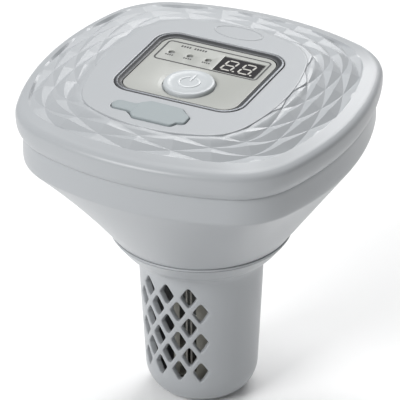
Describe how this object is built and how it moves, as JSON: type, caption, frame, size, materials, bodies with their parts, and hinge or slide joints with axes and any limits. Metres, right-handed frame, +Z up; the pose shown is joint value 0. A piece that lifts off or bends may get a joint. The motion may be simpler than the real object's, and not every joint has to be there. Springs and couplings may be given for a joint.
{
  "type": "floating salt chlorinator",
  "caption": "Floating pool sanitiser: rounded-square faceted lid with display, button and flap, funnel hull, screw-off perforated cage over electrode plates.",
  "frame": {"origin": "centre of the cage's flat foot, at the bottom of the whole device", "axes": "+Z up through the lid; -Y towards the lower edge of the control panel, where the charging flap is; +X to the right of someone who reads the panel"},
  "size_m": [0.176, 0.176, 0.1879],
  "materials": {
    "housing_plastic": "satin, very fine texture",
    "trim_chrome": "polished",
    "face_plate": "smooth printed film",
    "display_window": "glossy dark window",
    "light_pipe": "clear, unlit",
    "button_plastic": "satin gloss",
    "flap_rubber": "matte",
    "seal_rubber": "matte",
    "black_plastic": "matte",
    "circuit_board": "solder mask",
    "screw_steel": "machined",
    "battery_wrap": "shrink wrap",
    "nickel": "rolled strip",
    "ferrite": "sintered",
    "connector_plastic": "moulded",
    "ribbon_grey": "flexible",
    "wire_red": "silicone insulation",
    "wire_black": "silicone insulation",
    "head_plastic": "moulded",
    "electrode_metal": "coated titanium"
  },
  "bodies": {
    "housing": {"top_cover": "housing_plastic", "hull": "housing_plastic", "panel_frame": "trim_chrome", "panel_plate": "face_plate", "display_module": "display_window", "light_low": "light_pipe", "light_good": "light_pipe", "light_high": "light_pipe", "flap_anchor": "flap_rubber", "button_seal": "seal_rubber", "lid_gasket": "seal_rubber", "head_o_ring": "seal_rubber", "button_switch": "black_plastic", "charge_socket": "black_plastic", "battery_tray": "black_plastic", "battery_strap": "black_plastic", "capacitor": "black_plastic", "display_board": "circuit_board", "main_board": "circuit_board", "display_board_screw_1": "screw_steel", "display_board_screw_2": "screw_steel", "display_board_screw_3": "screw_steel", "display_board_screw_4": "screw_steel", "tray_screw_1": "screw_steel", "tray_screw_2": "screw_steel", "main_board_screw_1": "screw_steel", "main_board_screw_2": "screw_steel", "main_board_screw_3": "screw_steel", "main_board_screw_4": "screw_steel", "head_screw_1": "screw_steel", "head_screw_2": "screw_steel", "head_screw_3": "screw_steel", "head_screw_4": "screw_steel", "terminal_nut_1": "screw_steel", "terminal_nut_2": "screw_steel", "battery_cell_1": "battery_wrap", "battery_cell_2": "battery_wrap", "battery_cell_3": "battery_wrap", "battery_cell_4": "battery_wrap", "battery_tab_front": "nickel", "battery_tab_back": "nickel", "inductor": "ferrite", "board_connector": "connector_plastic", "ribbon_cable": "ribbon_grey", "electrode_wire_1": "wire_red", "electrode_wire_2": "wire_black", "electrode_head": "head_plastic", "plate_guide": "head_plastic", "electrode_plate_1": "electrode_metal", "electrode_plate_2": "electrode_metal", "electrode_plate_3": "electrode_metal", "electrode_plate_4": "electrode_metal", "terminal_stud_1": "electrode_metal", "terminal_stud_2": "electrode_metal"},
    "button": {"power_button": "button_plastic"},
    "flap": {"charge_flap": "flap_rubber"},
    "neck_ring_body": {"neck_ring": "trim_chrome"},
    "cage_body": {"cage": "housing_plastic"}
  },
  "joints": [
    {"name": "button_press", "type": "slide", "parent": "housing", "child": "button", "axis": [0, 0, -1], "range_m": [0, 0.0008], "stiffness_N_per_m": 300, "springref_m": -0.002},
    {"name": "flap_open", "type": "hinge", "parent": "housing", "child": "flap", "pos_m": [-0.0172, -0.0484, 0.1875], "axis": [0, -1, 0], "range_deg": [0, 120]},
    {"name": "cage_drop", "type": "slide", "parent": "housing", "child": "neck_ring_body", "axis": [0, 0, -1], "range_m": [0, 0.008]},
    {"name": "cage_turn", "type": "hinge", "parent": "neck_ring_body", "child": "cage_body", "pos_m": [0, 0, 0.09], "axis": [0, 0, -1], "range_deg": [0, 120]}
  ],
  "couplings": [
    {"joint": "cage_drop", "follows": "cage_turn", "m_per_rad": 0.0038197}
  ]
}
